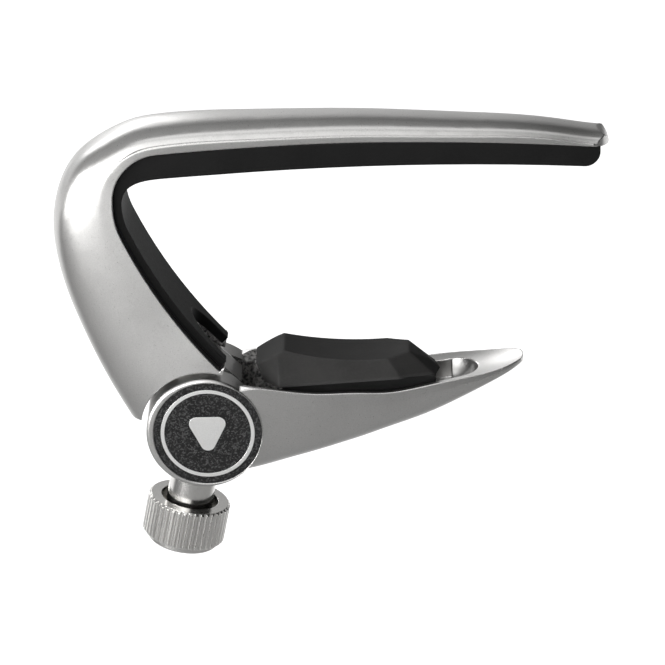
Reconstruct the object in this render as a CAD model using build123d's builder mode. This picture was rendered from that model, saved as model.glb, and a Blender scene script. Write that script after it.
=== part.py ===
from build123d import *
import os
from math import atan2, cos, degrees, radians, sin

# Screw-adjusted guitar capo, millimetres.
# The origin is the middle of the string pad's contact face. X runs along the string bar
# towards its free tip, Z points from the strings into the bar, and Y runs across it.

REACH = 10.0                # takes a cut past the widest part
SPARE = 1.0                 # takes a small cut past its edge
FAR_X = 40.0                # beyond the tip

# String bar and back leg
BOARD_RADIUS = 406.4        # the contact face follows a 16 inch fingerboard
BAR_SEAT = ((33.0, 1.45), (-3.0, 3.3), (-27.6, 2.6))  # metal face that the liner sits on
BEND_RADIUS = 6.45          # inside of the corner between bar and leg
BEND_STRAIGHT = 0.8
KNEE_RADIUS = 10.0
KNEE_ANGLE = 24.0
LEG_RADIUS = 71.0
LEG_ANGLE = 18.5
LEDGE = 0.95                # step of the metal that stops the liner's end
LEDGE_TOE = (-20.1, -29.5)
BULGE_STEPS = (0.0, 0.3, 0.55, 0.75, 0.88, 0.96)  # heights of a section's points
SKIRT = 1.6                 # metal left inside the liner's seat until the seat is cut
# Stations of the metal along the seat: distance from the tip, half width, height, fullness
FRAME_STATIONS = (
    (0.6, 3.4, 1.9, 2.5), (8.0, 3.6, 2.15, 2.5), (20.0, 4.0, 2.5, 2.5), (34.0, 4.45, 2.88, 2.5),
    (48.0, 5.05, 3.12, 2.5), (60.0, 5.7, 3.2, 2.55), (63.2, 5.88, 3.42, 2.6), (65.6, 5.98, 4.25, 2.7),
    (68.0, 6.05, 5.95, 2.85), (70.7, 6.15, 7.75, 3.0), (76.0, 6.3, 9.9, 3.2), (84.0, 6.5, 11.75, 3.4),
    (88.0, 6.6, 12.6, 3.6), (93.0, 6.8, 13.75, 3.6), (98.0, 7.0, 15.0, 3.6), (103.0, 7.15, 16.25, 3.6),
)
NOSE_X = 29.6               # where the tip starts to round off
NOSE_LENGTH = 2.6
NOSE_HEIGHT = 2.15
NOSE_HALF_WIDTH = 3.5

NOTCH_X = -24.1             # the notch between the lobes of the leg's end
NOTCH_HALF_WIDTH = 3.3
NOTCH_TOP = -20.5
NOTCH_DEPTH = 14.0
NOTCH_REACH = 12.0
TONGUE_LEFT_ANGLE = 118.0
TONGUE_BACK = (-29.5, -26.0)
TONGUE_FRONT = ((-23.5, -25.6), (-20.9, -27.7), (-17.5, -31.0))
LEG_END_Z = -35.5           # the back lobes end here

# Liner
LINER_TIP_X = 30.9
LINER_TIP_RADIUS = 2.0
LINER_LEG = 1.15            # thickness on the leg
LINER_CORNER_X = -26.6      # where the contact face starts to turn down the leg
LINER_SPLIT_Z = -3.5        # the plan outline trims the liner above this, the front outline all of it
LINER_PLAN = ((34.0, 3.1), (-27.0, 5.5), (-40.0, 5.6), (-40.0, 12.0), (34.0, 12.0))
LINER_FRONT = ((5.2, 4.0), (5.35, -31.0), (12.0, -31.0), (12.0, 4.0))

# Hub
HUB_X = -22.6
HUB_Z = -36.6
HUB_RADIUS = 7.87
HUB_HALF_WIDTH = 7.5
HUB_GAP = 0.76              # between the rim and the frame's hollow end
RIM_EDGE = 0.4
FORK_HALF_GAP = 3.3
BADGE_RADIUS = 7.35
BADGE_SHIFT = 0.43          # the badge sits a little towards the finger tip
BADGE_DEPTH = 0.75
BADGE_INSET = 0.1           # its face lies below the rim
INLAY_DEPTH = 0.3
RING_OUTER = 6.35
RING_INNER = 5.85

# Tongue of the frame, between the cheeks
TONGUE_HALF = 2.9
EYE_RADIUS = 3.6
PIN_RADIUS = 1.5
PIN_HALF_LENGTH = 6.6
BUSH_RADIUS = 2.1
RUNNING = 0.04              # radial clearance of a turning or sliding fit
WASHER_RADIUS = 3.4
WASHER_GAP = 0.02

# Screw, knob and cam. Distances along the screw are measured from the hub's axis.
SCREW_TILT = 12.1           # of the screw's axis, from straight down towards the back
BALL_RADIUS = 1.2
BALL_REST = 6.1             # ball centre in the rest pose
CAM_LIFT = 4.5              # ball travel for each radian of jaw swing
CAM_GAP = 0.05
CAM_SPARE = 3.0             # degrees of the heel past each end of the swing
CAM_STEPS = 7
CLOSE_ANGLE = 16.0
OPEN_ANGLE = 6.0
BARREL_RADIUS = 3.2
BARREL_START = 6.9
BARREL_END = 15.0
GUIDE_END = 7.5
FRICTION_START = 13.8
FRICTION_RADIUS = 2.6
SCREW_RADIUS = 2.0
SCREW_START = 9.2
SOCKET_END = 11.2
PIN_END = 11.15
KNOB_START = 12.9
KNOB_RADIUS = 5.7
KNOB_BEVEL = 0.3
KNURL_LENGTH = 5.6
KNURL_COUNT = 42
GROOVE_RADIUS = 0.27
LIP_RADIUS = 4.95
LIP_LENGTH = 0.9
RECESS_RADIUS = 4.0
RECESS_DEPTH = 3.7
TAIL_RADIUS = 1.7
CAP_RADIUS = 2.6
CAP_DEPTH = 0.8

# Lever. Stations: x, top edge, underside, half width, dish of the top face
LEVER_STATIONS = (
    (-22.6, -29.0, -44.4, 7.42, 1.6), (-19.5, -29.5, -44.3, 7.36, 1.55), (-16.4, -30.05, -44.0, 7.28, 1.5),
    (-13.0, -30.6, -43.1, 7.1, 1.4), (-9.0, -31.25, -41.95, 6.88, 1.3), (-5.0, -31.5, -40.75, 6.6, 1.2),
    (-1.0, -31.6, -39.45, 6.3, 1.1), (6.0, -31.3, -36.95, 5.65, 0.9), (11.0, -30.5, -34.8, 5.05, 0.6),
    (15.0, -30.0, -32.75, 4.35, 0.4), (18.0, -29.45, -31.2, 3.4, 0.25), (20.0, -28.95, -30.1, 2.1, 0.12),
    (20.8, -28.75, -29.6, 1.1, 0.05),
)
LEVER_FULLNESS = 3.0
TIP_X = 17.6                # the finger tip is trimmed to an ellipse in plan from here
TIP_LENGTH = 3.2
TIP_HALF_WIDTH = 3.5
SHOULDER_LEFT = -25.6
SHOULDER = ((-20.5, -31.7), (-17.0, -30.35), (-13.0, -30.6))  # clears the lobes as the jaw closes
SLOT_RADIUS = 6.6           # room for the eye and the cam heel
ENTRY_RADIUS = 8.45         # room for the tongue, which enters from above
ENTRY_FROM = 24.0
ENTRY_TO = 150.0
POCKET_START = (-18.8, 3.3)  # x and half width along the pocket
POCKET_LEFT = (-16.0, 4.7)
POCKET_RIGHT = (11.2, 3.5)   # the round scoop at the pocket's end starts here
POCKET_BOTTOM = -45.0
POCKET_TOP = -26.0
POCKET_FLOOR = ((-18.8, -36.4), (-6.0, -35.9), (3.0, -34.7), (11.2, -33.5))
SCOOP_Z = -30.0

# Neck pad
PAD_LEFT = (-17.5, -29.35)
PAD_PEAK = (-11.7, -26.4)
PAD_HOLLOW = (-3.0, -27.75)
PAD_NOSE = (5.3, -27.35)
PAD_SEAM = ((10.2, -30.75), (5.0, -30.2), (-12.4, -31.0), (-17.5, -31.0))
# Half outlines of the pad in plan, where it meets the base and above its top
PAD_LOW = ((-14.4, 0.0), (-14.4, 2.9), (-12.4, 5.3), (4.5, 5.3), (9.2, 2.9), (9.8, 0.0))
PAD_HIGH = ((-16.4, 0.0), (-16.4, 2.7), (-12.6, 3.0), (1.2, 3.0), (3.8, 1.8), (4.8, 0.0))
PAD_LOW_Z = -31.0
PAD_HIGH_Z = -26.0
BASE_PLAN = ((-12.0, 4.3), (-9.0, 4.3), (8.8, 3.0))
PEG_RADIUS = 1.0
PEG_X = (-9.0, 2.0)
PEG_BOTTOM = -37.6
PEG_LENGTH = 3.6

# Return spring
WIRE_RADIUS = 0.25
COIL_RADIUS = 2.48
COIL_PITCH = 0.54
COIL_TURNS = 2.75
COIL_START = 1.15           # distance of the first turn from the mid-plane
SPRING_LEGS = (5.9, 4.2)    # towards the lever, and into the tongue
SPRING_ROOM = 2.85
SPRING_SLOT = 0.7

PIN_CHAMFER = 0.2
BARREL_CHAMFER = 0.2
CAP_EDGE = 0.3
BADGE_FIT = 0.04            # gap round the badge
INLAY_PROUD = 0.03
PICK_POINTS = ((-3.1, -2.4), (3.1, -2.4), (0.0, 3.7))
PICK_CORNER = 1.0

RECESS_END = KNOB_START + RECESS_DEPTH
KNURL_END = KNOB_START + KNURL_LENGTH
KNOB_END = KNURL_END + LIP_LENGTH
CAP_START = KNOB_END - CAP_DEPTH
POCKET_DEPTH = POCKET_TOP - POCKET_BOTTOM
# Bevelled corners of the knob: radius, distance from the hub, and the side the metal is on
KNOB_CORNERS = ((KNOB_RADIUS, KNOB_START, 1), (KNOB_RADIUS, KNURL_END, -1), (LIP_RADIUS, KNOB_END, -1))

side = Plane.XZ
# Across the screw, with z along it and away from the hub
screw = Plane(
    origin=(HUB_X, 0, HUB_Z),
    x_dir=(0, 1, 0),
    z_dir=(-sin(radians(SCREW_TILT)), 0, -cos(radians(SCREW_TILT))),
)
screw_axis = Axis(screw.origin, screw.z_dir)
# Along the screw: x is the radius and y the distance from the hub
screw_side = Plane(origin=screw.origin, x_dir=(0, -1, 0), z_dir=screw.z_dir.cross(Vector(0, 1, 0)))
# Centres of the badges on the hub's faces, with z into the metal and y down
badge_planes = (
    Plane(origin=(HUB_X + BADGE_SHIFT, -HUB_HALF_WIDTH, HUB_Z), x_dir=(1, 0, 0), z_dir=(0, 1, 0)),
    Plane(origin=(HUB_X + BADGE_SHIFT, HUB_HALF_WIDTH, HUB_Z), x_dir=(-1, 0, 0), z_dir=(0, -1, 0)),
)


def on_hub(radius, angle):
    """A point in the side view at a polar place about the hub's axis."""
    return (HUB_X + radius * cos(radians(angle)), HUB_Z + radius * sin(radians(angle)))


def draw_seat():
    """Adds the metal face under the liner to the open line, from the tip to the leg's end."""
    bar = ThreePointArc(*BAR_SEAT)
    heading = bar % 1
    turn = 270 - degrees(atan2(heading.Y, heading.X)) % 360
    bend = JernArc(start=bar @ 1, tangent=heading, radius=BEND_RADIUS, arc_size=turn)
    straight = Line(bend @ 1, bend @ 1 + Vector(0, -BEND_STRAIGHT))
    knee = JernArc(start=straight @ 1, tangent=(0, -1), radius=KNEE_RADIUS, arc_size=KNEE_ANGLE)
    JernArc(start=knee @ 1, tangent=knee % 1, radius=LEG_RADIUS, arc_size=LEG_ANGLE)


def bulge(half_width, height, fullness):
    """Points of a superellipse over its half width, from one foot to the other."""
    rise = [(half_width * (1 - t**fullness) ** (1 / fullness), height * t) for t in BULGE_STEPS]
    return [(-x, y) for x, y in rise] + [(0, height)] + [(x, y) for x, y in reversed(rise)]


def board(x):
    """Height of the fingerboard's round face."""
    return (BOARD_RADIUS**2 - x**2) ** 0.5 - BOARD_RADIUS


def cam_point(swing):
    """A point of the cam heel, under the ball, for a swing of the jaw in degrees."""
    reach = BALL_REST - CAM_LIFT * radians(swing)
    outward = Vector(-sin(radians(SCREW_TILT)), -cos(radians(SCREW_TILT))).rotate(Axis.Z, swing)
    onward = outward.rotate(Axis.Z, 90)
    normal = (outward * reach + onward * CAM_LIFT).normalized()
    return Vector(HUB_X, HUB_Z) + outward * reach - normal * (BALL_RADIUS + CAM_GAP)


with BuildLine() as seat:
    draw_seat()
seat_wire = seat.wire()
seat_length = seat_wire.length
seat_end = seat_wire @ 1
inward = (seat_wire % 1).rotate(Axis.Z, 90)


def seat_plane(distance):
    """A plane across the metal: x across the bar, y away from the liner."""
    here = min(distance, seat_length) / seat_length
    heading = seat_wire % here
    place = seat_wire @ here + heading * max(0.0, distance - seat_length)
    return Plane(origin=(place.X, 0, place.Y), x_dir=(0, -1, 0), z_dir=(heading.X, 0, heading.Y))


cam_span = OPEN_ANGLE + CLOSE_ANGLE + 2 * CAM_SPARE
cam_angles = [cam_span * i / CAM_STEPS - OPEN_ANGLE - CAM_SPARE for i in range(CAM_STEPS + 1)]

with BuildPart() as frame:
    # crowned bar and leg
    for distance, half_width, height, fullness in FRAME_STATIONS:
        with BuildSketch(seat_plane(distance)):
            with BuildLine():
                crown = Spline(*bulge(half_width, height, fullness), tangents=((0, 1), (0, -1)))
                Polyline(crown @ 0, (-half_width, -SKIRT), (half_width, -SKIRT), crown @ 1)
            make_face()
    loft()
    # seat of the liner, down to the ledge that stops its end
    with BuildSketch(side):
        with BuildLine():
            draw_seat()
            Polyline(
                seat_end,
                seat_end + inward * LEDGE,
                LEDGE_TOE,
                (LEDGE_TOE[0], HUB_Z),
                (FAR_X, HUB_Z),
                (FAR_X, BAR_SEAT[0][1]),
                BAR_SEAT[0],
            )
        make_face()
    extrude(amount=REACH, both=True, mode=Mode.SUBTRACT)
    # rounded nose, in the side view and in plan
    with BuildSketch(side):
        with Locations((NOSE_X, BAR_SEAT[0][1])):
            Rectangle(REACH, REACH, align=(Align.MIN, Align.MIN))
            Ellipse(NOSE_LENGTH, NOSE_HEIGHT, mode=Mode.SUBTRACT)
    extrude(amount=REACH, both=True, mode=Mode.SUBTRACT)
    with BuildSketch(Plane.XY):
        with Locations((NOSE_X, 0)):
            Rectangle(REACH, 2 * REACH, align=(Align.MIN, Align.CENTER))
            Ellipse(NOSE_LENGTH, NOSE_HALF_WIDTH, mode=Mode.SUBTRACT)
    extrude(amount=REACH, mode=Mode.SUBTRACT)
    # hollow end around the hub, and the notch between its two lobes
    with BuildSketch(side):
        with Locations((HUB_X, HUB_Z)):
            Circle(HUB_RADIUS + HUB_GAP)
        with Locations((HUB_X, LEG_END_Z)):
            Rectangle(3 * REACH, 2 * REACH, align=(Align.CENTER, Align.MAX))
    extrude(amount=REACH, both=True, mode=Mode.SUBTRACT)
    with BuildSketch(Plane.XY.offset(NOTCH_TOP)):
        with Locations((NOTCH_X + NOTCH_HALF_WIDTH + NOTCH_REACH / 2, 0)):
            SlotCenterToCenter(NOTCH_REACH, 2 * NOTCH_HALF_WIDTH)
    extrude(amount=-NOTCH_DEPTH, mode=Mode.SUBTRACT)
    # tongue with the pivot's eye
    with BuildSketch(side):
        with BuildLine():
            Polyline(
                TONGUE_BACK,
                *TONGUE_FRONT,
                (HUB_X + EYE_RADIUS, HUB_Z),
                (HUB_X - EYE_RADIUS, HUB_Z),
                on_hub(HUB_RADIUS + HUB_GAP, TONGUE_LEFT_ANGLE),
                close=True,
            )
        make_face()
        with Locations((HUB_X, HUB_Z)):
            Circle(EYE_RADIUS)
    extrude(amount=TONGUE_HALF, both=True)
    # cam heel, a spiral that the ball runs on
    with BuildSketch(side):
        with BuildLine():
            face = Spline(*[cam_point(angle) for angle in cam_angles])
            Polyline(face @ 1, (HUB_X, HUB_Z), face @ 0)
        make_face()
    extrude(amount=TONGUE_HALF, both=True)
    with BuildSketch(side):
        with Locations((HUB_X, HUB_Z)):
            Circle(BUSH_RADIUS)
    extrude(amount=TONGUE_HALF, both=True, mode=Mode.SUBTRACT)
    # room for the return spring, open towards the back of the hub, and a slot for its upper leg
    with BuildSketch(side.offset(-TONGUE_HALF)):
        with Locations((HUB_X, HUB_Z)):
            Circle(SPRING_ROOM)
            Rectangle(EYE_RADIUS + SPARE, 2 * SPRING_ROOM, align=(Align.MAX, Align.CENTER))
        with Locations((HUB_X - COIL_RADIUS, HUB_Z)):
            Rectangle(SPRING_SLOT, SPRING_LEGS[1] + SPRING_SLOT, align=(Align.CENTER, Align.MIN))
    extrude(amount=TONGUE_HALF - COIL_START + 2 * WIRE_RADIUS, mode=Mode.SUBTRACT)
frame.part.label = "frame"

with BuildPart() as string_pad:
    with BuildSketch(side):
        with BuildLine():
            draw_seat()
            end_face = Line(seat_end, seat_end + inward * LINER_LEG)
            lower = JernArc(
                start=end_face @ 1,
                tangent=(seat_wire % 1) * -1,
                radius=LEG_RADIUS - LINER_LEG,
                arc_size=-LEG_ANGLE,
            )
            knee_face = JernArc(
                start=lower @ 1,
                tangent=lower % 1,
                radius=KNEE_RADIUS - LINER_LEG,
                arc_size=-KNEE_ANGLE,
            )
            corner = (LINER_CORNER_X, board(LINER_CORNER_X))
            Spline(knee_face @ 1, corner, tangents=((0, 1), (1, -LINER_CORNER_X / BOARD_RADIUS)))
            contact_end = (BAR_SEAT[0][0], board(BAR_SEAT[0][0]))
            ThreePointArc(corner, (0, 0), contact_end)
            Line(contact_end, BAR_SEAT[0])
        make_face()
    extrude(amount=REACH, both=True)
    with BuildSketch(side):
        with Locations((LINER_TIP_X, 0)):
            Rectangle(REACH, REACH, align=(Align.MIN, Align.CENTER))
    extrude(amount=REACH, both=True, mode=Mode.SUBTRACT)
    tip_edge = string_pad.edges().filter_by(Axis.Y).group_by(Axis.X)[-1].sort_by(Axis.Z)[0]
    fillet(tip_edge, LINER_TIP_RADIUS)
    # the liner is a little narrower than the metal, and widens with it
    with BuildSketch(Plane.XY.offset(LINER_SPLIT_Z)):
        for way in (-1, 1):
            with BuildLine():
                Polyline(*[(x, way * y) for x, y in LINER_PLAN], close=True)
            make_face()
    extrude(amount=REACH, mode=Mode.SUBTRACT)
    with BuildSketch(Plane.YZ.offset(-FAR_X)):
        for way in (-1, 1):
            with BuildLine():
                Polyline(*[(way * y, z) for y, z in LINER_FRONT], close=True)
            make_face()
    extrude(amount=2 * FAR_X, mode=Mode.SUBTRACT)
    with BuildSketch(Plane.XY.offset(NOTCH_TOP)):
        with Locations((NOTCH_X + NOTCH_HALF_WIDTH + NOTCH_REACH / 2, 0)):
            SlotCenterToCenter(NOTCH_REACH, 2 * NOTCH_HALF_WIDTH)
    extrude(amount=-NOTCH_DEPTH, mode=Mode.SUBTRACT)
string_pad.part.label = "string_pad"

with BuildPart() as cheeks:
    with BuildSketch(side):
        with Locations((HUB_X, HUB_Z)):
            Circle(HUB_RADIUS)
    extrude(amount=HUB_HALF_WIDTH, both=True)
    fillet(cheeks.edges().filter_by(GeomType.CIRCLE), RIM_EDGE)

with BuildPart() as pocket:
    with BuildSketch(Plane.XY.offset(POCKET_BOTTOM)):
        with BuildLine():
            half = (POCKET_START, POCKET_LEFT, POCKET_RIGHT)
            Polyline(*half, *[(x, -y) for x, y in reversed(half)], close=True)
        make_face()
    extrude(amount=POCKET_DEPTH)
    with BuildSketch(side):
        with BuildLine():
            floor = Spline(*POCKET_FLOOR)
            Polyline(floor @ 1, ((floor @ 1).X, POCKET_TOP), ((floor @ 0).X, POCKET_TOP), floor @ 0)
        make_face()
    extrude(amount=REACH, both=True, mode=Mode.INTERSECT)
    with Locations((POCKET_RIGHT[0], 0, SCOOP_Z)):
        Sphere(radius=POCKET_RIGHT[1])

with BuildPart() as lever:
    for x, top, underside, half_width, dish in LEVER_STATIONS:
        with BuildSketch(Plane(origin=(x, 0, top), x_dir=(0, -1, 0), z_dir=(-1, 0, 0))):
            with BuildLine():
                hull = Spline(
                    *[(y, -z) for y, z in bulge(half_width, top - underside, LEVER_FULLNESS)],
                    tangents=((0, -1), (0, 1)),
                )
                ThreePointArc(hull @ 0, (0, -dish), hull @ 1)
            make_face()
    loft()
    with BuildSketch(Plane.XY.offset(POCKET_BOTTOM)):
        with Locations((TIP_X + REACH / 2, 0)):
            Rectangle(REACH, 2 * REACH)
        with Locations((TIP_X, 0)):
            Ellipse(TIP_LENGTH, TIP_HALF_WIDTH, mode=Mode.SUBTRACT)
    extrude(amount=POCKET_DEPTH, mode=Mode.SUBTRACT)
    # shoulder next to the cheeks
    with BuildSketch(side):
        with BuildLine():
            ThreePointArc(*SHOULDER)
            Polyline(
                SHOULDER[-1],
                (SHOULDER[-1][0], POCKET_TOP),
                (SHOULDER_LEFT, POCKET_TOP),
                (SHOULDER_LEFT, SHOULDER[0][1]),
                SHOULDER[0],
            )
        make_face()
    extrude(amount=REACH, both=True, mode=Mode.SUBTRACT)
    add(cheeks.part)
    # slot between the cheeks: round the eye, and open above for the tongue
    with BuildSketch(side):
        with Locations((HUB_X, HUB_Z)):
            Circle(SLOT_RADIUS)
        with BuildLine():
            entry = CenterArc((HUB_X, HUB_Z), ENTRY_RADIUS, ENTRY_FROM, ENTRY_TO - ENTRY_FROM)
            Polyline(entry @ 1, (HUB_X, HUB_Z), entry @ 0)
        make_face()
    extrude(amount=FORK_HALF_GAP, both=True, mode=Mode.SUBTRACT)
    add(pocket.part, mode=Mode.SUBTRACT)
    # bore of the screw barrel, through the web between the cheeks
    with BuildSketch(screw.offset(BARREL_START - SPARE)):
        Circle(BARREL_RADIUS)
    extrude(amount=REACH, mode=Mode.SUBTRACT)
    # pivot bore and the badge recesses
    with BuildSketch(side):
        with Locations((HUB_X, HUB_Z)):
            Circle(PIN_RADIUS)
    extrude(amount=HUB_HALF_WIDTH, both=True, mode=Mode.SUBTRACT)
    for face_plane in badge_planes:
        with BuildSketch(face_plane):
            Circle(BADGE_RADIUS)
        extrude(amount=BADGE_DEPTH, mode=Mode.SUBTRACT)
    # holes for the pegs of the pad's base
    with BuildSketch(Plane.XY.offset(POCKET_TOP)):
        with Locations(*[(x, 0) for x in PEG_X]):
            Circle(PEG_RADIUS)
    extrude(amount=POCKET_TOP - PEG_BOTTOM, both=True, mode=Mode.SUBTRACT)
lever.part.label = "lever"

with BuildPart() as neck_pad_base:
    with BuildSketch(Plane.XY.offset(POCKET_BOTTOM)):
        with BuildLine():
            Polyline(*[(x, y) for x, y in BASE_PLAN], *[(x, -y) for x, y in reversed(BASE_PLAN)], close=True)
        make_face()
    extrude(amount=POCKET_DEPTH)
    with BuildSketch(side):
        with BuildLine():
            floor = Spline(*POCKET_FLOOR)
            Polyline(floor @ 1, *PAD_SEAM[:-1], floor @ 0)
        make_face()
    extrude(amount=REACH, both=True, mode=Mode.INTERSECT)
    with BuildSketch(Plane.XY.offset(PEG_BOTTOM)):
        with Locations(*[(x, 0) for x in PEG_X]):
            Circle(PEG_RADIUS)
    extrude(amount=PEG_LENGTH)
neck_pad_base.part.label = "neck_pad_base"

with BuildPart() as neck_pad:
    for outline, height in ((PAD_LOW, PAD_LOW_Z), (PAD_HIGH, PAD_HIGH_Z)):
        with BuildSketch(Plane.XY.offset(height)):
            with BuildLine():
                Polyline(*outline, *[(x, -y) for x, y in reversed(outline[1:-1])], close=True)
            make_face()
    loft(ruled=True)
    with BuildSketch(side):
        with BuildLine():
            Polyline(PAD_PEAK, PAD_LEFT, PAD_SEAM[-1], *reversed(PAD_SEAM[:-1]), PAD_NOSE)
            ThreePointArc(PAD_NOSE, PAD_HOLLOW, PAD_PEAK)
        make_face()
    extrude(amount=REACH, both=True, mode=Mode.INTERSECT)
neck_pad.part.label = "neck_pad"

with BuildPart() as pivot_pin:
    with BuildSketch(side):
        with Locations((HUB_X, HUB_Z)):
            Circle(PIN_RADIUS)
    extrude(amount=PIN_HALF_LENGTH, both=True)
    chamfer(pivot_pin.edges().filter_by(GeomType.CIRCLE), PIN_CHAMFER)
pivot_pin.part.label = "pivot_pin"

with BuildPart() as pivot_bush:
    with BuildSketch(side):
        with Locations((HUB_X, HUB_Z)):
            Circle(BUSH_RADIUS)
            Circle(PIN_RADIUS + RUNNING, mode=Mode.SUBTRACT)
    extrude(amount=TONGUE_HALF, both=True)
pivot_bush.part.label = "pivot_bush"

washers = []
for name, way in (("front_washer", 1), ("back_washer", -1)):
    with BuildPart() as washer:
        with BuildSketch(side.offset(way * (TONGUE_HALF + WASHER_GAP))):
            with Locations((HUB_X, HUB_Z)):
                Circle(WASHER_RADIUS)
                Circle(PIN_RADIUS + WASHER_GAP, mode=Mode.SUBTRACT)
        extrude(amount=way * (FORK_HALF_GAP - TONGUE_HALF - 2 * WASHER_GAP))
    washer.part.label = name
    washers.append(washer.part)

badge_parts = []
for name, face_plane in zip(("front_badge", "back_badge"), badge_planes):
    with BuildPart() as ring:
        with BuildSketch(face_plane.offset(BADGE_INSET - INLAY_PROUD)):
            Circle(RING_OUTER)
            Circle(RING_INNER, mode=Mode.SUBTRACT)
        extrude(amount=INLAY_DEPTH)
    with BuildPart() as pick:
        with BuildSketch(face_plane.offset(BADGE_INSET - INLAY_PROUD)):
            with BuildLine():
                Polyline(*PICK_POINTS, close=True)
            make_face()
            fillet(vertices(), PICK_CORNER)
        extrude(amount=INLAY_DEPTH)
    with BuildPart() as badge:
        with BuildSketch(face_plane.offset(BADGE_INSET)):
            Circle(BADGE_RADIUS - BADGE_FIT)
        extrude(amount=BADGE_DEPTH - BADGE_INSET)
        add(ring.part, mode=Mode.SUBTRACT)
        add(pick.part, mode=Mode.SUBTRACT)
    badge.part.label = name
    ring.part.label = f"{name}_ring"
    pick.part.label = f"{name}_pick"
    badge_parts += [badge.part, ring.part, pick.part]

with BuildPart() as screw_barrel:
    with BuildSketch(screw.offset(BARREL_START)):
        Circle(BARREL_RADIUS)
    extrude(amount=BARREL_END - BARREL_START)
    chamfer(screw_barrel.edges().filter_by(GeomType.CIRCLE), BARREL_CHAMFER)
    with BuildSketch(screw.offset(BARREL_START)):
        Circle(BALL_RADIUS + RUNNING)
    extrude(amount=BARREL_END - BARREL_START, mode=Mode.SUBTRACT)
    with BuildSketch(screw.offset(GUIDE_END)):
        Circle(SCREW_RADIUS + RUNNING)
    extrude(amount=BARREL_END - GUIDE_END, mode=Mode.SUBTRACT)
    with BuildSketch(screw.offset(FRICTION_START)):
        Circle(FRICTION_RADIUS)
    extrude(amount=BARREL_END - FRICTION_START, mode=Mode.SUBTRACT)
screw_barrel.part.label = "screw_barrel"

with BuildPart() as friction_ring:
    with BuildSketch(screw.offset(FRICTION_START)):
        Circle(FRICTION_RADIUS)
        Circle(SCREW_RADIUS + RUNNING, mode=Mode.SUBTRACT)
    extrude(amount=BARREL_END - FRICTION_START)
friction_ring.part.label = "friction_ring"

with BuildPart() as adjusting_screw:
    with BuildSketch(screw.offset(SCREW_START)):
        Circle(SCREW_RADIUS)
    extrude(amount=RECESS_END - SCREW_START)
    with BuildSketch(screw.offset(RECESS_END)):
        Circle(TAIL_RADIUS)
    extrude(amount=CAP_START - RECESS_END)
    with BuildSketch(screw.offset(SCREW_START)):
        Circle(BALL_RADIUS + RUNNING)
    extrude(amount=SOCKET_END - SCREW_START, mode=Mode.SUBTRACT)
adjusting_screw.part.label = "adjusting_screw"

with BuildPart() as thrust_pin:
    with BuildSketch(screw_side):
        with BuildLine():
            nose_arc = CenterArc((0, BALL_REST), BALL_RADIUS, -90, 90)
            Polyline(nose_arc @ 1, (BALL_RADIUS, PIN_END), (0, PIN_END), nose_arc @ 0)
        make_face()
    revolve(axis=screw_axis)
thrust_pin.part.label = "thrust_pin"

with BuildPart() as knob:
    with BuildSketch(screw.offset(KNOB_START)):
        Circle(KNOB_RADIUS)
        with PolarLocations(KNOB_RADIUS, KNURL_COUNT):
            Circle(GROOVE_RADIUS, mode=Mode.SUBTRACT)
    extrude(amount=KNURL_LENGTH)
    with BuildSketch(screw.offset(KNURL_END)):
        Circle(LIP_RADIUS)
    extrude(amount=LIP_LENGTH)
    # bevelled ends
    with BuildSketch(screw_side):
        for radius, place, way in KNOB_CORNERS:
            with BuildLine():
                Polyline(
                    (radius - KNOB_BEVEL, place),
                    (radius + SPARE, place),
                    (radius + SPARE, place + way * (KNOB_BEVEL + SPARE)),
                    close=True,
                )
            make_face()
    revolve(axis=screw_axis, mode=Mode.SUBTRACT)
    with BuildSketch(screw.offset(KNOB_START)):
        Circle(RECESS_RADIUS)
    extrude(amount=RECESS_DEPTH, mode=Mode.SUBTRACT)
    with BuildSketch(screw.offset(RECESS_END)):
        Circle(TAIL_RADIUS)
    extrude(amount=KNOB_END - RECESS_END, mode=Mode.SUBTRACT)
    with BuildSketch(screw.offset(CAP_START)):
        Circle(CAP_RADIUS)
    extrude(amount=CAP_DEPTH, mode=Mode.SUBTRACT)
knob.part.label = "knob"

with BuildPart() as knob_cap:
    with BuildSketch(screw.offset(CAP_START)):
        Circle(CAP_RADIUS)
    extrude(amount=CAP_DEPTH)
    fillet(knob_cap.edges().filter_by(GeomType.CIRCLE).sort_by(screw_axis)[-1], CAP_EDGE)
knob_cap.part.label = "knob_cap"

with BuildPart() as return_spring:
    with BuildLine():
        coil = Helix(COIL_PITCH, COIL_PITCH * COIL_TURNS, COIL_RADIUS, (HUB_X, COIL_START, HUB_Z), (0, 1, 0))
        first_leg = Line(coil @ 0 - (coil % 0) * SPRING_LEGS[0], coil @ 0)
        Line(coil @ 1, coil @ 1 + (coil % 1) * SPRING_LEGS[1])
    with BuildSketch(Plane(origin=first_leg @ 0, z_dir=first_leg % 0)):
        Circle(WIRE_RADIUS)
    sweep()
return_spring.part.label = "return_spring"

pieces = [
    frame.part,
    string_pad.part,
    lever.part,
    neck_pad.part,
    neck_pad_base.part,
    pivot_pin.part,
    pivot_bush.part,
    *washers,
    *badge_parts,
    screw_barrel.part,
    friction_ring.part,
    adjusting_screw.part,
    thrust_pin.part,
    knob.part,
    knob_cap.part,
    return_spring.part,
]
os.makedirs("parts", exist_ok=True)
for piece in pieces:
    export_step(piece, f"parts/{piece.label}.step")
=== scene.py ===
from math import pi, radians
import bpy
from mathutils import Matrix, Vector


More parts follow.
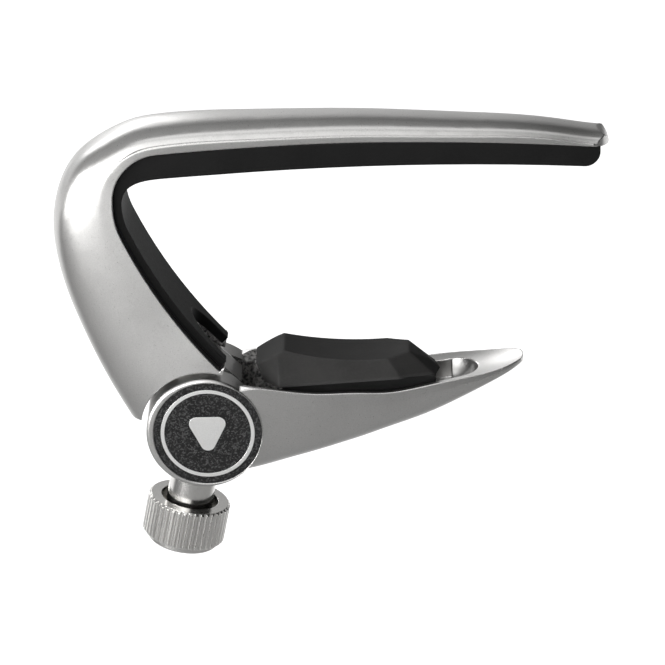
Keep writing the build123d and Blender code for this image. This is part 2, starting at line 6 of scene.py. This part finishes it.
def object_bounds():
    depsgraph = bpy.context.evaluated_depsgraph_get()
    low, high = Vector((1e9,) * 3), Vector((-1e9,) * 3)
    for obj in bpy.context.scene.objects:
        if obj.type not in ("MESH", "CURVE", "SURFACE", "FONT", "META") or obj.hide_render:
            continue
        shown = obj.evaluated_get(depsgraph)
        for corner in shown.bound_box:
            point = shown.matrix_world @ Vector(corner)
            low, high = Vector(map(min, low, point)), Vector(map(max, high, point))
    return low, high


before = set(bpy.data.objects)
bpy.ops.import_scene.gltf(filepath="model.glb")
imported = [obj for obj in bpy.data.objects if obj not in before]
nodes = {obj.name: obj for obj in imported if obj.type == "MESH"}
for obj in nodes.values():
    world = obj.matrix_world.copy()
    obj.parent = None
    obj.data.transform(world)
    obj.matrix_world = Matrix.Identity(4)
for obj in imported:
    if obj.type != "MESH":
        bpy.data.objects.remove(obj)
cad_low, cad_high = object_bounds()
MM = 0.001

# Sockets of the Mix node when it mixes colours
MIX_FACTOR, MIX_A, MIX_B, MIX_RESULT = 0, 6, 7, 2
BEVEL_SAMPLES = 6

# Metals: how the colour and roughness vary over a surface
CLOUD_MM = 9.0                   # size of the broad colour clouds
CLOUD_STOPS = ((0.3, 0.0), (0.7, 1.0))
GRAIN_STOPS = ((0.25, 0.86), (0.75, 1.0))
METAL_ROUGH_SPAN = 0.12          # roughness from the smoothest to the roughest grain
EDGE_POLISH = 0.35               # share of the roughness that handling takes off the edges

# Polymers
POLYMER_CLOUD_MM = 6.0
POLYMER_SHADE = 0.2              # colour clouds are darker and lighter by this share
POLYMER_DUST = 1.6               # brightness of the dust against the base colour
DUST_STOPS = ((0.35, 0.0), (0.8, 0.35))
POLYMER_EDGE_MIX = 0.5
POLYMER_ROUGH_SPAN = 0.15
POLYMER_ROUGH_DROP = 0.07        # the smoothest grain lies this far below the given roughness
POLYMER_EDGE_RANGE = (0.86, 0.998)

# Pearl plated casting
PLATE_COLOUR = (0.60, 0.595, 0.585)
PLATE_ROUGHNESS = 0.30
CAST_FADE = (-0.010, -0.004)     # the rough inner face ends between these x values
CAST_BAND = 0.15                 # softness of the border between plate and rough casting
CAST_GRAIN_MM = 0.45
CAST_STOPS = ((0.35, (0.10, 0.10, 0.10)), (0.62, (0.62, 0.61, 0.60)))
CAST_ROUGHER = 0.25
CAST_BUMP_MM = 0.06

# Badge enamel
FLAKE_MM = 0.17
FLAKE_STOPS = ((0.55, 0.0), (0.95, 1.0))
FLAKE_COLOUR = (0.07, 0.07, 0.07)
FLAKE_METAL = 0.55
FLAKE_TILT_MM = 0.006
ENAMEL_CLOUD_MM = 2.5
ENAMEL_STOPS = ((0.3, (0.004, 0.004, 0.0042)), (0.7, (0.008, 0.008, 0.0082)))
ENAMEL_ROUGHNESS = 0.42
ENAMEL_ROUGH_SPAN = 0.2
ENAMEL_COAT = 0.03
ENAMEL_SPECULAR = 0.2
ENAMEL_EDGE_MM = 0.15


# ---------- shader helpers ----------
def new_material(name):
    mat = bpy.data.materials.new(name)
    mat.use_nodes = True
    return mat, mat.node_tree.nodes, mat.node_tree.links, mat.node_tree.nodes["Principled BSDF"]


def math_node(nds, lks, kind, *values):
    """A math node; each value is a number or another node's output."""
    n = nds.new("ShaderNodeMath")
    n.operation = kind
    for i, v in enumerate(values):
        if isinstance(v, (int, float)):
            n.inputs[i].default_value = v
        else:
            lks.new(v, n.inputs[i])
    return n.outputs[0]


def map_range(nds, lks, value, source, target, kind="LINEAR"):
    n = nds.new("ShaderNodeMapRange")
    n.interpolation_type = kind
    n.inputs["From Min"].default_value, n.inputs["From Max"].default_value = source
    n.inputs["To Min"].default_value, n.inputs["To Max"].default_value = target
    lks.new(value, n.inputs["Value"])
    return n.outputs[0]


def axes(nds, lks, vector):
    n = nds.new("ShaderNodeSeparateXYZ")
    lks.new(vector, n.inputs[0])
    return n.outputs


def noise(nds, lks, size_mm, detail=2.0, stretch=None):
    """Noise in object space whose grains are about size_mm across."""
    vec = nds.new("ShaderNodeTexCoord").outputs["Object"]
    if stretch:
        mp = nds.new("ShaderNodeMapping")
        mp.inputs["Scale"].default_value = stretch
        lks.new(vec, mp.inputs["Vector"])
        vec = mp.outputs["Vector"]
    n = nds.new("ShaderNodeTexNoise")
    n.inputs["Scale"].default_value = 1.0 / (size_mm * MM)
    n.inputs["Detail"].default_value = detail
    lks.new(vec, n.inputs["Vector"])
    return n.outputs["Fac"]


def ramp(nds, lks, fac, stops):
    """Colour ramp; each stop is a position and a grey level or a colour."""
    r = nds.new("ShaderNodeValToRGB")
    els = r.color_ramp.elements
    while len(els) < len(stops):
        els.new(0.5)
    for e, (p, c) in zip(els, stops):
        e.position = p
        e.color = (c, c, c, 1) if isinstance(c, (int, float)) else (*c, 1)
    lks.new(fac, r.inputs["Fac"])
    return r.outputs["Color"]


def mix(nds, lks, fac, a, b, mode="MIX"):
    """Colour mix; fac is a number or a node's output, and a and b are colours or outputs."""
    m = nds.new("ShaderNodeMix")
    m.data_type = "RGBA"
    m.blend_type = mode
    for i, v in ((MIX_FACTOR, fac), (MIX_A, a), (MIX_B, b)):
        if isinstance(v, (int, float)):
            m.inputs[i].default_value = v
        elif isinstance(v, tuple):
            m.inputs[i].default_value = (*v, 1)
        else:
            lks.new(v, m.inputs[i])
    return m.outputs[MIX_RESULT]


def scaled(colour, share):
    return tuple(min(1.0, c * share) for c in colour)


def rounded(nds, lks, radius_mm):
    """Normal that rounds the sharp edges by the radius."""
    b = nds.new("ShaderNodeBevel")
    b.samples = BEVEL_SAMPLES
    b.inputs["Radius"].default_value = radius_mm * MM
    return b.outputs["Normal"]


def bump(nds, lks, height, depth_mm, normal):
    b = nds.new("ShaderNodeBump")
    b.inputs["Distance"].default_value = depth_mm * MM
    lks.new(height, b.inputs["Height"])
    lks.new(normal, b.inputs["Normal"])
    return b.outputs["Normal"]


def edges(nds, lks, normal, low=0.9, high=0.999):
    """1 on rounded edges and 0 on open faces, from the bevel's normal against the face's own."""
    geo = nds.new("ShaderNodeNewGeometry")
    d = nds.new("ShaderNodeVectorMath")
    d.operation = "DOT_PRODUCT"
    lks.new(normal, d.inputs[0])
    lks.new(geo.outputs["Normal"], d.inputs[1])
    return ramp(nds, lks, d.outputs["Value"], ((low, 1.0), (high, 0.0)))


# ---------- materials ----------
def metal(name, colour, rough, grain_mm=0.12, grain_depth=0.004, edge_mm=0.22, edge_tint=1.15,
          edge_mix=0.6, blotch=0.04, stretch=None):
    """Metal with colour clouds, fine grain, and brighter, smoother edges."""
    mat, nds, lks, bsdf = new_material(name)
    bsdf.inputs["Metallic"].default_value = 1.0
    soft = rounded(nds, lks, edge_mm)
    rim = edges(nds, lks, soft)
    cloud = ramp(nds, lks, noise(nds, lks, CLOUD_MM, 3.0), CLOUD_STOPS)
    fine = noise(nds, lks, grain_mm, 2.0, stretch)
    base = mix(nds, lks, cloud, scaled(colour, 1 - blotch), scaled(colour, 1 + blotch))
    base = mix(nds, lks, 1.0, base, ramp(nds, lks, fine, GRAIN_STOPS), "MULTIPLY")
    base = mix(nds, lks, math_node(nds, lks, "MULTIPLY", rim, edge_mix), base, scaled(colour, edge_tint))
    lks.new(base, bsdf.inputs["Base Color"])
    level = math_node(nds, lks, "MULTIPLY_ADD", fine, METAL_ROUGH_SPAN, rough - METAL_ROUGH_SPAN / 2)
    polish = math_node(nds, lks, "MULTIPLY", rim, rough * EDGE_POLISH)
    lks.new(math_node(nds, lks, "SUBTRACT", level, polish), bsdf.inputs["Roughness"])
    lks.new(bump(nds, lks, fine, grain_depth, soft), bsdf.inputs["Normal"])
    return mat


def polymer(name, colour, rough, grain_mm=0.35, grain_depth=0.02, edge_mm=0.4, edge_add=0.05,
            specular=0.2):
    """Rubber or plastic with colour clouds, dusty grain and slightly lighter edges."""
    mat, nds, lks, bsdf = new_material(name)
    bsdf.inputs["Specular IOR Level"].default_value = specular
    soft = rounded(nds, lks, edge_mm)
    rim = edges(nds, lks, soft, *POLYMER_EDGE_RANGE)
    cloud = ramp(nds, lks, noise(nds, lks, POLYMER_CLOUD_MM, 4.0), CLOUD_STOPS)
    fine = noise(nds, lks, grain_mm, 3.0)
    base = mix(nds, lks, cloud, scaled(colour, 1 - POLYMER_SHADE), scaled(colour, 1 + POLYMER_SHADE))
    base = mix(nds, lks, ramp(nds, lks, fine, DUST_STOPS), base, scaled(colour, POLYMER_DUST))
    edge_colour = tuple(c + edge_add for c in colour)
    base = mix(nds, lks, math_node(nds, lks, "MULTIPLY", rim, POLYMER_EDGE_MIX), base, edge_colour)
    lks.new(base, bsdf.inputs["Base Color"])
    level = math_node(nds, lks, "MULTIPLY_ADD", fine, POLYMER_ROUGH_SPAN, rough - POLYMER_ROUGH_DROP)
    lks.new(level, bsdf.inputs["Roughness"])
    lks.new(bump(nds, lks, fine, grain_depth, soft), bsdf.inputs["Normal"])
    return mat


def cast_plate(name, inner_from):
    """Pearl plate, with rough dark casting left of CAST_FADE on faces that look at the mid-plane."""
    mat = metal(name, PLATE_COLOUR, PLATE_ROUGHNESS, grain_mm=0.16, grain_depth=0.0035, edge_mm=0.26,
                edge_tint=1.3)
    nds, lks = mat.node_tree.nodes, mat.node_tree.links
    bsdf = nds["Principled BSDF"]
    place = axes(nds, lks, nds.new("ShaderNodeTexCoord").outputs["Object"])
    facing = axes(nds, lks, nds.new("ShaderNodeNewGeometry").outputs["Normal"])
    outward = math_node(nds, lks, "MULTIPLY", math_node(nds, lks, "SIGN", place["Y"]), facing["Y"])
    inward = math_node(nds, lks, "MULTIPLY", outward, -1.0)
    inner = ramp(nds, lks, inward, ((inner_from, 0.0), (inner_from + CAST_BAND, 1.0)))
    fade = map_range(nds, lks, place["X"], CAST_FADE, (1.0, 0.0))
    inner = math_node(nds, lks, "MULTIPLY", inner, fade)
    rough_cast = noise(nds, lks, CAST_GRAIN_MM, 4.0)
    colour, rough, normal = (
        bsdf.inputs[key].links[0].from_socket for key in ("Base Color", "Roughness", "Normal")
    )
    lks.new(mix(nds, lks, inner, colour, ramp(nds, lks, rough_cast, CAST_STOPS)), bsdf.inputs["Base Color"])
    extra = math_node(nds, lks, "MULTIPLY", inner, CAST_ROUGHER)
    lks.new(math_node(nds, lks, "ADD", rough, extra), bsdf.inputs["Roughness"])
    relief = math_node(nds, lks, "MULTIPLY", inner, rough_cast)
    lks.new(bump(nds, lks, relief, CAST_BUMP_MM, normal), bsdf.inputs["Normal"])
    return mat


def sparkle_enamel(name):
    """Near-black enamel with fine metal flakes."""
    mat, nds, lks, bsdf = new_material(name)
    bsdf.inputs["Coat Weight"].default_value = ENAMEL_COAT
    bsdf.inputs["Specular IOR Level"].default_value = ENAMEL_SPECULAR
    soft = rounded(nds, lks, ENAMEL_EDGE_MM)
    cells = nds.new("ShaderNodeTexVoronoi")
    cells.inputs["Scale"].default_value = 1.0 / (FLAKE_MM * MM)
    lks.new(nds.new("ShaderNodeTexCoord").outputs["Object"], cells.inputs["Vector"])
    pick = nds.new("ShaderNodeSeparateColor")
    lks.new(cells.outputs["Color"], pick.inputs[0])
    flake = ramp(nds, lks, pick.outputs["Red"], FLAKE_STOPS)
    ground = ramp(nds, lks, noise(nds, lks, ENAMEL_CLOUD_MM, 3.0), ENAMEL_STOPS)
    lks.new(mix(nds, lks, flake, ground, FLAKE_COLOUR), bsdf.inputs["Base Color"])
    lks.new(math_node(nds, lks, "MULTIPLY", flake, FLAKE_METAL), bsdf.inputs["Metallic"])
    level = math_node(nds, lks, "MULTIPLY_ADD", pick.outputs["Green"], ENAMEL_ROUGH_SPAN, ENAMEL_ROUGHNESS)
    lks.new(level, bsdf.inputs["Roughness"])
    lks.new(bump(nds, lks, pick.outputs["Blue"], FLAKE_TILT_MM, soft), bsdf.inputs["Normal"])
    return mat


plate_frame = cast_plate("plate_frame", 0.55)
plate_lever = cast_plate("plate_lever", 0.15)
liner_rubber = polymer("liner_rubber", (0.006, 0.006, 0.006), 0.6, edge_mm=0.35, edge_add=0.02, specular=0.12)
pad_rubber = polymer("pad_rubber", (0.024, 0.0235, 0.023), 0.7, grain_mm=0.3, edge_mm=0.7)
base_plastic = polymer("base_plastic", (0.010, 0.010, 0.010), 0.5, edge_mm=0.3, edge_add=0.03, specular=0.12)
cap_plastic = polymer("cap_plastic", (0.02, 0.02, 0.02), 0.4, edge_mm=0.2)
washer_plastic = polymer("washer_plastic", (0.62, 0.61, 0.57), 0.4, edge_mm=0.05)
ring_plastic = polymer("ring_plastic", (0.60, 0.60, 0.55), 0.4, edge_mm=0.05)
enamel = sparkle_enamel("enamel")
inlay = metal("inlay", (0.84, 0.84, 0.83), 0.38, grain_mm=0.10, grain_depth=0.003, edge_mm=0.05)
polished = metal("polished", (0.78, 0.77, 0.75), 0.17, grain_mm=0.09, grain_depth=0.0012, edge_mm=0.15,
                 stretch=(1, 1, 0.2))
knurled = metal("knurled", (0.74, 0.73, 0.71), 0.21, grain_mm=0.10, grain_depth=0.0025, edge_mm=0.08,
                edge_tint=1.35, edge_mix=0.8)
steel = metal("steel", (0.60, 0.60, 0.60), 0.28, grain_mm=0.08, grain_depth=0.003, edge_mm=0.1,
              stretch=(0.15, 1, 1))
brass = metal("brass", (0.80, 0.62, 0.30), 0.3, grain_mm=0.08, grain_depth=0.003, edge_mm=0.1)

finishes = {
    "frame": plate_frame, "lever": plate_lever,
    "string_pad": liner_rubber, "neck_pad": pad_rubber, "neck_pad_base": base_plastic,
    "front_badge": enamel, "back_badge": enamel,
    "front_badge_ring": inlay, "back_badge_ring": inlay, "front_badge_pick": inlay, "back_badge_pick": inlay,
    "screw_barrel": polished, "knob": knurled, "knob_cap": cap_plastic, "friction_ring": ring_plastic,
    "front_washer": washer_plastic, "back_washer": washer_plastic, "pivot_bush": brass,
    "pivot_pin": steel, "adjusting_screw": steel, "thrust_pin": steel, "return_spring": steel,
}
for name, mat in finishes.items():
    mesh = nodes[name].data
    mesh.materials.clear()
    mesh.materials.append(mat)

# ---------- stage ----------
FLOOR_SIZE = 8
FLOOR_DROP = 0.11                # the object floats this far above the floor
FLOOR_STOPS = ((0.3, 0.50), (0.7, 0.52))
FLOOR_CLOUD_MM = 60.0
FLOOR_ROUGHNESS = 0.9
FLOOR_SPECULAR = 0.1
GLOW_PLACE = (0.02, 0.25)        # the floor's glow grows between these y values
GLOW_RANGE = (0.0, 0.95)

bpy.ops.mesh.primitive_plane_add(size=FLOOR_SIZE, location=(0, 0, cad_low.z - FLOOR_DROP))
floor = bpy.context.object
floor.name = "floor"
floor_mat, nds, lks, bsdf = new_material("floor")
bsdf.inputs["Roughness"].default_value = FLOOR_ROUGHNESS
bsdf.inputs["Specular IOR Level"].default_value = FLOOR_SPECULAR
lks.new(ramp(nds, lks, noise(nds, lks, FLOOR_CLOUD_MM), FLOOR_STOPS), bsdf.inputs["Base Color"])
# the floor glows towards the back, like a light table
floor_place = axes(nds, lks, nds.new("ShaderNodeTexCoord").outputs["Object"])
glow = map_range(nds, lks, floor_place["Y"], GLOW_PLACE, GLOW_RANGE, "SMOOTHSTEP")
bsdf.inputs["Emission Color"].default_value = (1, 1, 1, 1)
lks.new(glow, bsdf.inputs["Emission Strength"])
floor.data.materials.append(floor_mat)

# ---------- light ----------
# Grey of the sky over the object, from the front horizon (0) to the back horizon (1)
SKY_STOPS = (
    (0.0, 0.10), (0.10, 0.22), (0.30, 0.30), (0.64, 0.30),
    (0.71, 0.18), (0.76, 0.18), (0.84, 0.62), (1.0, 0.65),
)
# From left (0) to right (1): bright on the left, dark on the right
ACROSS_STOPS = ((0.0, 1.0), (0.40, 0.95), (0.5, 0.8), (0.60, 0.35), (0.72, 0.04))
SKY_STRENGTH = 1.5
CENTRE = (-0.005, 0, -0.025)     # where the softboxes point
# Name, place, width and height, watts, spread in degrees
SOFTBOXES = (
    ("front", (-0.17, -0.55, 0.17), (0.60, 0.58), 0.45, 80),
    ("overhead", (-0.02, -0.25, 0.60), (0.6, 0.6), 0.24, 80),
    ("low_left", (-0.30, -0.48, -0.03), (0.5, 0.26), 0.4, 80),
    ("left", (-0.60, -0.30, 0.10), (0.4, 0.4), 0.6, 70),
    ("back_left", (-0.35, 0.80, 0.35), (0.5, 0.2), 0.25, 90),
)

world = bpy.data.worlds.new("studio")
bpy.context.scene.world = world
world.use_nodes = True
wn, wl = world.node_tree.nodes, world.node_tree.links
way = axes(wn, wl, wn.new("ShaderNodeTexCoord").outputs["Generated"])
forward = math_node(wn, wl, "MULTIPLY", way["Y"], -1.0)
over = math_node(wn, wl, "DIVIDE", math_node(wn, wl, "ARCTAN2", way["Z"], forward), pi)
across = math_node(wn, wl, "MULTIPLY_ADD", way["X"], 0.5, 0.5)
sky = mix(wn, wl, 1.0, ramp(wn, wl, over, SKY_STOPS), ramp(wn, wl, across, ACROSS_STOPS), "MULTIPLY")
wl.new(sky, wn["Background"].inputs["Color"])
wn["Background"].inputs["Strength"].default_value = SKY_STRENGTH

for name, place, size, power, spread in SOFTBOXES:
    data = bpy.data.lights.new(name, "AREA")
    data.shape = "RECTANGLE"
    data.size, data.size_y = size
    data.energy = power
    data.spread = radians(spread)
    lamp = bpy.data.objects.new(name, data)
    bpy.context.scene.collection.objects.link(lamp)
    lamp.location = place
    lamp.rotation_euler = (Vector(CENTRE) - Vector(place)).to_track_quat("-Z", "Y").to_euler()

# ---------- camera ----------
CAMERA_LENS = 187.5
CAMERA_SENSOR = 36.0
CAMERA_CLIP = (0.01, 20)
CAMERA_PLACE = Vector((-0.00126, -0.43669, 0.14853))
LOOK = Vector((-0.0081, 0.9291, -0.3697)).normalized()
UP = Vector((0.0203, 0.3697, 0.9289))

cam_data = bpy.data.cameras.new("camera")
cam_data.lens = CAMERA_LENS
cam_data.sensor_width = CAMERA_SENSOR
cam_data.clip_start, cam_data.clip_end = CAMERA_CLIP
camera = bpy.data.objects.new("camera", cam_data)
bpy.context.scene.collection.objects.link(camera)
right = LOOK.cross(UP).normalized()
up = right.cross(LOOK)
turn = Matrix((right, up, -LOOK)).transposed()
camera.matrix_world = Matrix.Translation(CAMERA_PLACE) @ turn.to_4x4()
bpy.context.scene.camera = camera
bpy.context.scene.view_settings.view_transform = "Standard"
